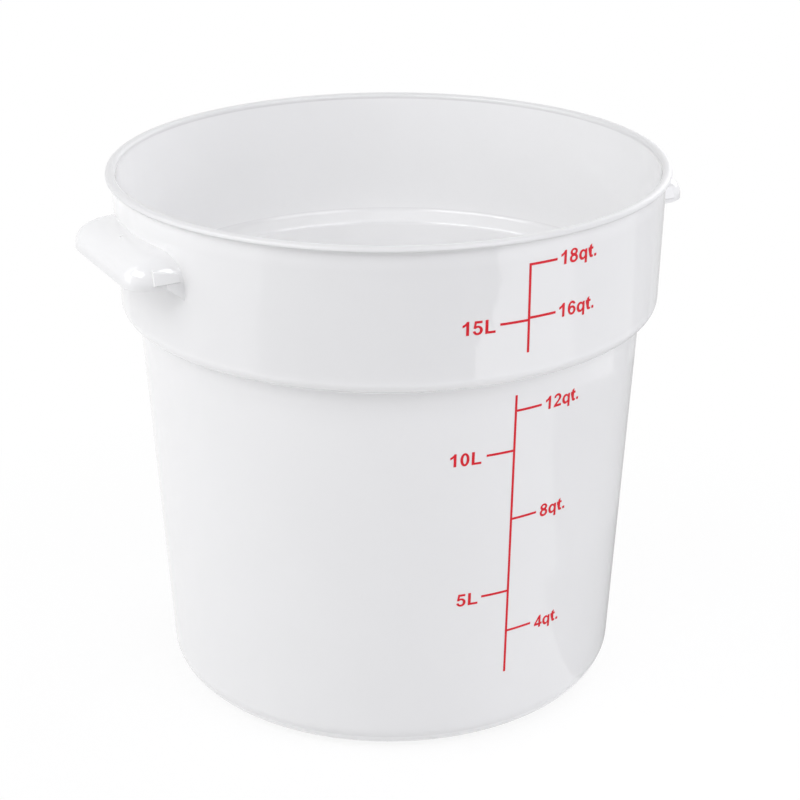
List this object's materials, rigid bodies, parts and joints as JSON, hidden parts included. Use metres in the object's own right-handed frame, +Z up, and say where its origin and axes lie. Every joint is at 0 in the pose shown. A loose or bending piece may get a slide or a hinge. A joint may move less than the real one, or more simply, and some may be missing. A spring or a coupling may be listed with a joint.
{
  "type": "food storage container",
  "caption": "Deep round plastic storage tub with a wider upper band, an open flanged mouth, moulded grips on both sides and a printed volume scale.",
  "frame": {"origin": "centre of the base, on the plane that the foot ring stands on", "axes": "+Z up along the tub's axis, the grips on -X (left) and +X (right), and the printed scale facing -Y"},
  "size_m": [0.347, 0.314, 0.3023],
  "materials": {
    "tub_plastic": "glossy white, slightly milky",
    "grip_plastic": "glossy white, slightly milky",
    "red_ink": "printed red ink, satin"
  },
  "bodies": {
    "root": {"tub": "tub_plastic", "handle_left": "grip_plastic", "handle_right": "grip_plastic", "scale_upper": "red_ink", "scale_lower": "red_ink"}
  },
  "joints": []
}
